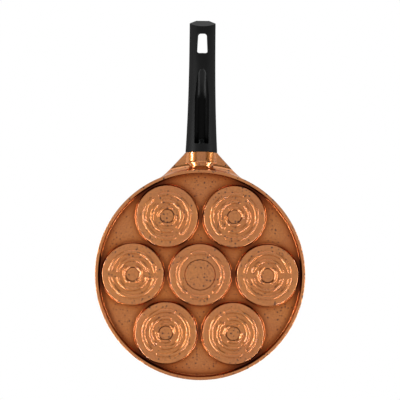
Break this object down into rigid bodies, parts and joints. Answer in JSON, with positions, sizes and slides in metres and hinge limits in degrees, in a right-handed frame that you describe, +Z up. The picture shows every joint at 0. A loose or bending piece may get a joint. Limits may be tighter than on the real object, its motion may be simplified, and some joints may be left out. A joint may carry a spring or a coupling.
{
  "type": "pancake pan",
  "caption": "Low round cast pan with small round moulds for pancakes, ringed pads on its underside and a moulded handle with a hanging hole, held on by a screw",
  "frame": {"origin": "the standing plane, under the middle of the overall length and width, with the pan's cooking side up", "axes": "+Y runs from the pan to the handle's far end, +Z is up through the pan's axis, +X is to the right seen from above with the handle away from the viewer"},
  "size_m": [0.262, 0.4542, 0.0436],
  "materials": {
    "coated_aluminium": "copper-coloured speckled non-stick coat on cast aluminium",
    "phenolic": "black moulded phenolic resin, satin",
    "zinc_steel": "zinc plated"
  },
  "bodies": {
    "root": {"pan_body": "coated_aluminium", "handle": "phenolic", "handle_screw": "zinc_steel", "flat_washer": "zinc_steel", "spring_washer": "zinc_steel"}
  },
  "joints": []
}
